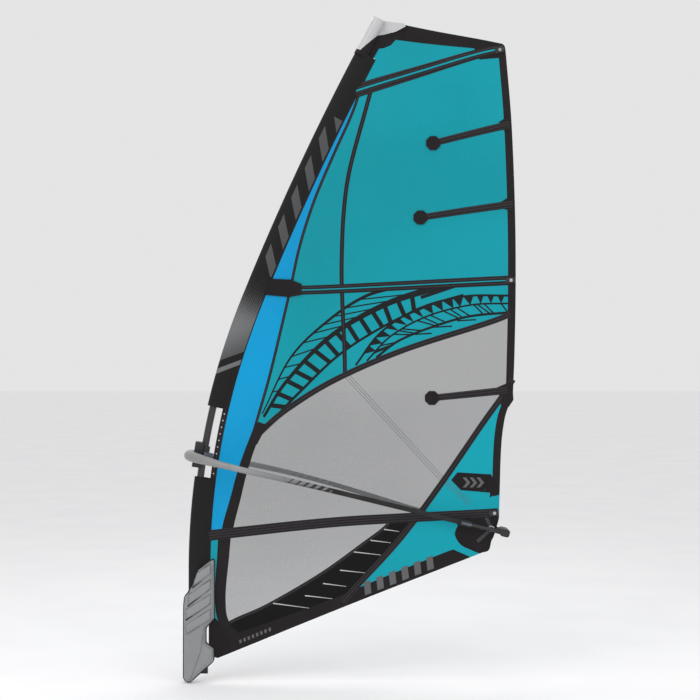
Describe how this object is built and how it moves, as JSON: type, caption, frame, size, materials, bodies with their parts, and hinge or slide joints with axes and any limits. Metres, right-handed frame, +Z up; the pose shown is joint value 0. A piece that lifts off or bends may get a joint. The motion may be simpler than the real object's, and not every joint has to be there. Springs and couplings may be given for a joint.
{
  "type": "windsurf sail rig",
  "caption": "Battened windsurf sail with luff sleeve, bent mast, tack fairing and a wishbone boom with sliding tail.",
  "frame": {"origin": "mouth of the mast-foot socket, on the mast's axis", "axes": "+Z up along the mast base, +X aft towards the clew, +Y across the sail"},
  "size_m": [1.9274, 0.5311, 3.8578],
  "materials": {
    "teal_film": "satin",
    "blue_film": "satin",
    "black_film": "satin",
    "window_film": "satin",
    "sleeve_cloth": "matte",
    "tape_cloth": "matte",
    "webbing": "matte",
    "line": "matte",
    "batten_rod": "gloss",
    "carbon": "gloss",
    "fairing_foam": "satin",
    "cap_plastic": "satin",
    "black_plastic": "satin",
    "grey_plastic": "satin",
    "boom_tube": "satin",
    "boom_cuff": "satin",
    "tail_alloy": "satin",
    "steel": "polished",
    "liner_rubber": "matte",
    "extension_alloy": "satin"
  },
  "bodies": {
    "rig": {"batten_end_fittings": "black_plastic", "batten_pockets": "tape_cloth", "batten_rods": "batten_rod", "boom_arm_port": "boom_tube", "boom_arm_starboard": "boom_tube", "boom_front_loop": "boom_cuff", "boom_head": "black_plastic", "clew_panel_lower": "teal_film", "clew_panel_upper": "teal_film", "clew_patch": "black_film", "clew_ring": "steel", "clew_webbing": "webbing", "downhaul_line": "line", "extension_base": "black_plastic", "extension_collar": "black_plastic", "extension_tube": "extension_alloy", "fairing_ribs": "fairing_foam", "foot_band": "tape_cloth", "foot_panel": "black_film", "head_cap": "cap_plastic", "head_liner": "liner_rubber", "head_panel": "black_film", "leech_tape": "tape_cloth", "luff_panel_foot": "teal_film", "luff_panel_lower": "blue_film", "luff_panel_upper": "blue_film", "luff_sleeve_lower": "sleeve_cloth", "luff_sleeve_upper": "sleeve_cloth", "mast_bottom": "carbon", "mast_ferrule": "carbon", "mast_top": "carbon", "middle_front_panel": "teal_film", "middle_rear_panel": "teal_film", "mini_batten_pockets": "tape_cloth", "outhaul_line": "line", "pins_and_axles": "steel", "tack_block": "black_plastic", "tack_fairing": "fairing_foam", "tack_patch": "black_film", "tail_clip_port": "black_plastic", "tail_clip_starboard": "black_plastic", "tension_screws": "steel", "upper_front_panel": "teal_film", "upper_rear_panel": "teal_film", "window_lower": "window_film", "window_upper": "window_film"},
    "boom_tail": {"tail_tubes": "tail_alloy", "tail_body": "black_plastic", "tail_axles": "steel"},
    "clip_lever_port": {"clip_lever_port": "grey_plastic"},
    "clip_lever_starboard": {"clip_lever_starboard": "grey_plastic"},
    "head_lever": {"head_lever": "grey_plastic"},
    "head_jaw": {"head_jaw": "black_plastic"},
    "release_button": {"release_button": "grey_plastic"},
    "base_sheave": {"base_sheave": "black_plastic"},
    "tack_sheave_port": {"tack_sheave_port": "black_plastic"},
    "tack_sheave_starboard": {"tack_sheave_starboard": "black_plastic"},
    "tail_sheave_port": {"tail_sheave_port": "grey_plastic"},
    "tail_sheave_starboard": {"tail_sheave_starboard": "grey_plastic"}
  },
  "joints": [
    {"name": "boom_length", "type": "slide", "parent": "rig", "child": "boom_tail", "axis": [0.9715, 0, -0.2368], "range_m": [0, 0.15], "deforming": ["outhaul_line"]},
    {"name": "tail_sheave_port_spin", "type": "hinge", "parent": "boom_tail", "child": "tail_sheave_port", "pos_m": [1.79563, -0.0185, 0.82464], "axis": [0.2368, 0, 0.9715], "continuous": true},
    {"name": "clip_lever_port_open", "type": "hinge", "parent": "rig", "child": "clip_lever_port", "pos_m": [1.54691, -0.0745, 0.88527], "axis": [0.2368, 0, 0.9715], "range_deg": [-100, 0]},
    {"name": "tail_sheave_starboard_spin", "type": "hinge", "parent": "boom_tail", "child": "tail_sheave_starboard", "pos_m": [1.79563, 0.0185, 0.82464], "axis": [0.2368, 0, 0.9715], "continuous": true},
    {"name": "clip_lever_starboard_open", "type": "hinge", "parent": "rig", "child": "clip_lever_starboard", "pos_m": [1.54691, 0.0745, 0.88527], "axis": [0.2368, 0, 0.9715], "range_deg": [0, 100]},
    {"name": "head_lever_open", "type": "hinge", "parent": "rig", "child": "head_lever", "pos_m": [0.06266, -0.041, 1.27444], "axis": [0.1551, 0, 0.9879], "range_deg": [-80, 0]},
    {"name": "head_jaw_open", "type": "hinge", "parent": "rig", "child": "head_jaw", "pos_m": [0.05871, 0.038, 1.27506], "axis": [0.1551, 0, 0.9879], "range_deg": [0, 40]},
    {"name": "release_press", "type": "slide", "parent": "rig", "child": "release_button", "axis": [1, 0, 0], "range_m": [0, 0.004], "stiffness_N_per_m": 400, "springref_m": -0.001},
    {"name": "base_sheave_spin", "type": "hinge", "parent": "rig", "child": "base_sheave", "pos_m": [0.058, 0, 0.026], "axis": [0, 1, 0], "continuous": true},
    {"name": "tack_sheave_port_spin", "type": "hinge", "parent": "rig", "child": "tack_sheave_port", "pos_m": [0.058, -0.009, 0.118], "axis": [0, 1, 0], "continuous": true},
    {"name": "tack_sheave_starboard_spin", "type": "hinge", "parent": "rig", "child": "tack_sheave_starboard", "pos_m": [0.058, 0.009, 0.118], "axis": [0, 1, 0], "continuous": true}
  ],
  "couplings": [
    {"joint": "head_jaw_open", "follows": "head_lever_open", "ratio": -0.5}
  ]
}
